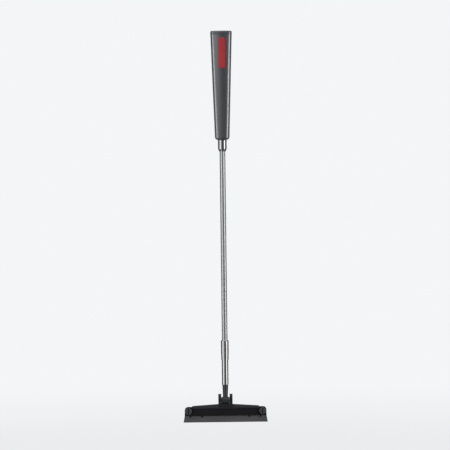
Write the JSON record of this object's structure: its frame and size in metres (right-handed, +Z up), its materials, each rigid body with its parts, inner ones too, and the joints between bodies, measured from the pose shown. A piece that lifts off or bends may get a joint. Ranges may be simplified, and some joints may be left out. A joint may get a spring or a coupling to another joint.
{
  "type": "algae scraper",
  "caption": "Hand algae scraper for aquarium glass: tapered soft grip, steel pole with a screwed coupling, tilting head, clamped steel blade and slip-on blade guard.",
  "frame": {"origin": "middle of the underside of the blade guard, under the pole's axis", "axes": "+Z up along the pole from the blade to the handle, +X along the blade to the right seen from the front, -Y to the front, where the clamp plate and the red strip are"},
  "size_m": [0.0946, 0.0202, 0.44],
  "materials": {
    "soft_grip": "satin moulded elastomer",
    "handle_plastic": "satin moulded plastic",
    "red_strip": "satin red plastic",
    "collar_chrome": "dark polished plating",
    "satin_steel": "fine drawn satin",
    "polished_steel": "polished",
    "blade_steel": "ground",
    "pin_steel": "turned",
    "head_plastic": "fine moulded texture",
    "fitting_plastic": "fine moulded texture",
    "screw_plastic": "fine moulded texture",
    "guard_plastic": "soft moulded plastic",
    "nylon": "natural nylon",
    "seal_rubber": "smooth"
  },
  "bodies": {
    "pole": {"soft_grip": "soft_grip", "red_inlay": "red_strip", "handle_core": "handle_plastic", "end_cap": "handle_plastic", "handle_ferrule": "collar_chrome", "tube_roll_pin": "pin_steel", "upper_tube": "satin_steel", "tube_top_plug": "nylon", "upper_spigot": "pin_steel"},
    "sleeve": {"coupling_sleeve": "polished_steel"},
    "lower_pole": {"lower_tube": "polished_steel", "lower_thread_plug": "pin_steel", "coupling_o_ring": "seal_rubber", "pole_end_fitting": "fitting_plastic"},
    "head": {"head_frame": "head_plastic", "pivot_pin": "pin_steel", "pivot_washers": "fitting_plastic", "captive_nuts": "pin_steel"},
    "clamp": {"clamp_plate": "head_plastic", "screw_retaining_rings": "pin_steel"},
    "left_screw": {"left_clamp_screw": "screw_plastic"},
    "right_screw": {"right_clamp_screw": "screw_plastic"},
    "blade": {"scraper_blade": "blade_steel"},
    "guard": {"blade_guard": "guard_plastic"}
  },
  "joints": [
    {"name": "sleeve_turn", "type": "hinge", "parent": "pole", "child": "sleeve", "pos_m": [0, 0, 0.081], "axis": [0, 0, 1], "range_deg": [0, 1080]},
    {"name": "lower_pole_slide", "type": "slide", "parent": "pole", "child": "lower_pole", "axis": [0, 0, -1], "range_m": [0, 0.009]},
    {"name": "head_tilt", "type": "hinge", "parent": "lower_pole", "child": "head", "pos_m": [0, 0, 0.0242], "axis": [1, 0, 0], "range_deg": [-45, 45]},
    {"name": "left_screw_turn", "type": "hinge", "parent": "clamp", "child": "left_screw", "pos_m": [-0.0417, 0, 0.0126], "axis": [0, -1, 0], "range_deg": [0, 1440]},
    {"name": "right_screw_turn", "type": "hinge", "parent": "clamp", "child": "right_screw", "pos_m": [0.0417, 0, 0.0126], "axis": [0, -1, 0], "range_deg": [0, 1440]},
    {"name": "clamp_plate_slide", "type": "slide", "parent": "head", "child": "clamp", "axis": [0, -1, 0], "range_m": [0, 0.002]},
    {"name": "blade_slide", "type": "slide", "parent": "head", "child": "blade", "axis": [0, 0, -1], "range_m": [0, 0.01]},
    {"name": "guard_slide", "type": "slide", "parent": "blade", "child": "guard", "axis": [0, 0, -1], "range_m": [0, 0.008]}
  ],
  "couplings": [
    {"joint": "sleeve_turn", "follows": "lower_pole_slide", "rad_per_m": 2094.4},
    {"joint": "left_screw_turn", "follows": "clamp_plate_slide", "rad_per_m": 12566},
    {"joint": "right_screw_turn", "follows": "clamp_plate_slide", "rad_per_m": 12566}
  ]
}
